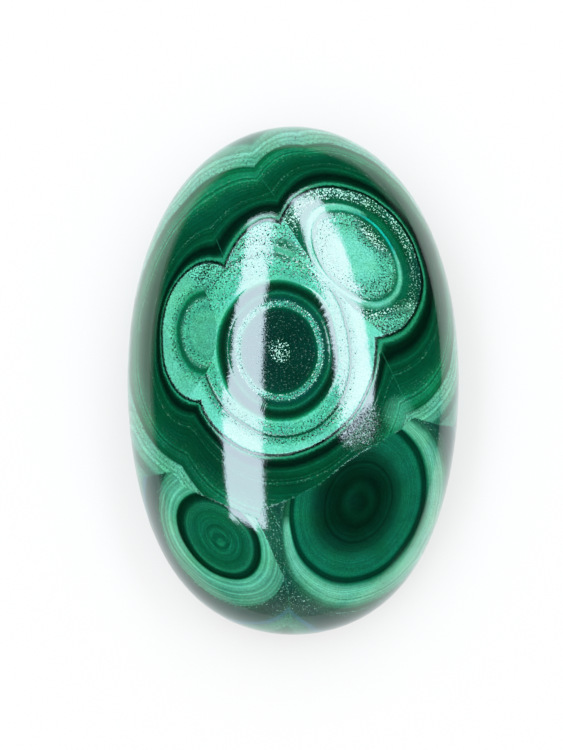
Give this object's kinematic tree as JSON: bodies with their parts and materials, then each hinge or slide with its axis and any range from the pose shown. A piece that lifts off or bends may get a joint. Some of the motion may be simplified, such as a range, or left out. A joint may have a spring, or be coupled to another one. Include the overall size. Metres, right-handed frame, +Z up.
{
  "type": "palm stone",
  "caption": "Polished oval pebble of banded green malachite, domed on both sides, to hold in the palm or rest on its small flat underside.",
  "frame": {"origin": "on the surface that the stone rests on, under the middle of its outline", "axes": "+X across the stone, +Y along its length towards the narrower end, +Z up from the resting flat"},
  "size_m": [0.039, 0.06, 0.022],
  "materials": {
    "polished_malachite": "glassy polish over green banded malachite"
  },
  "bodies": {
    "root": {"palm_stone": "polished_malachite"}
  },
  "joints": []
}
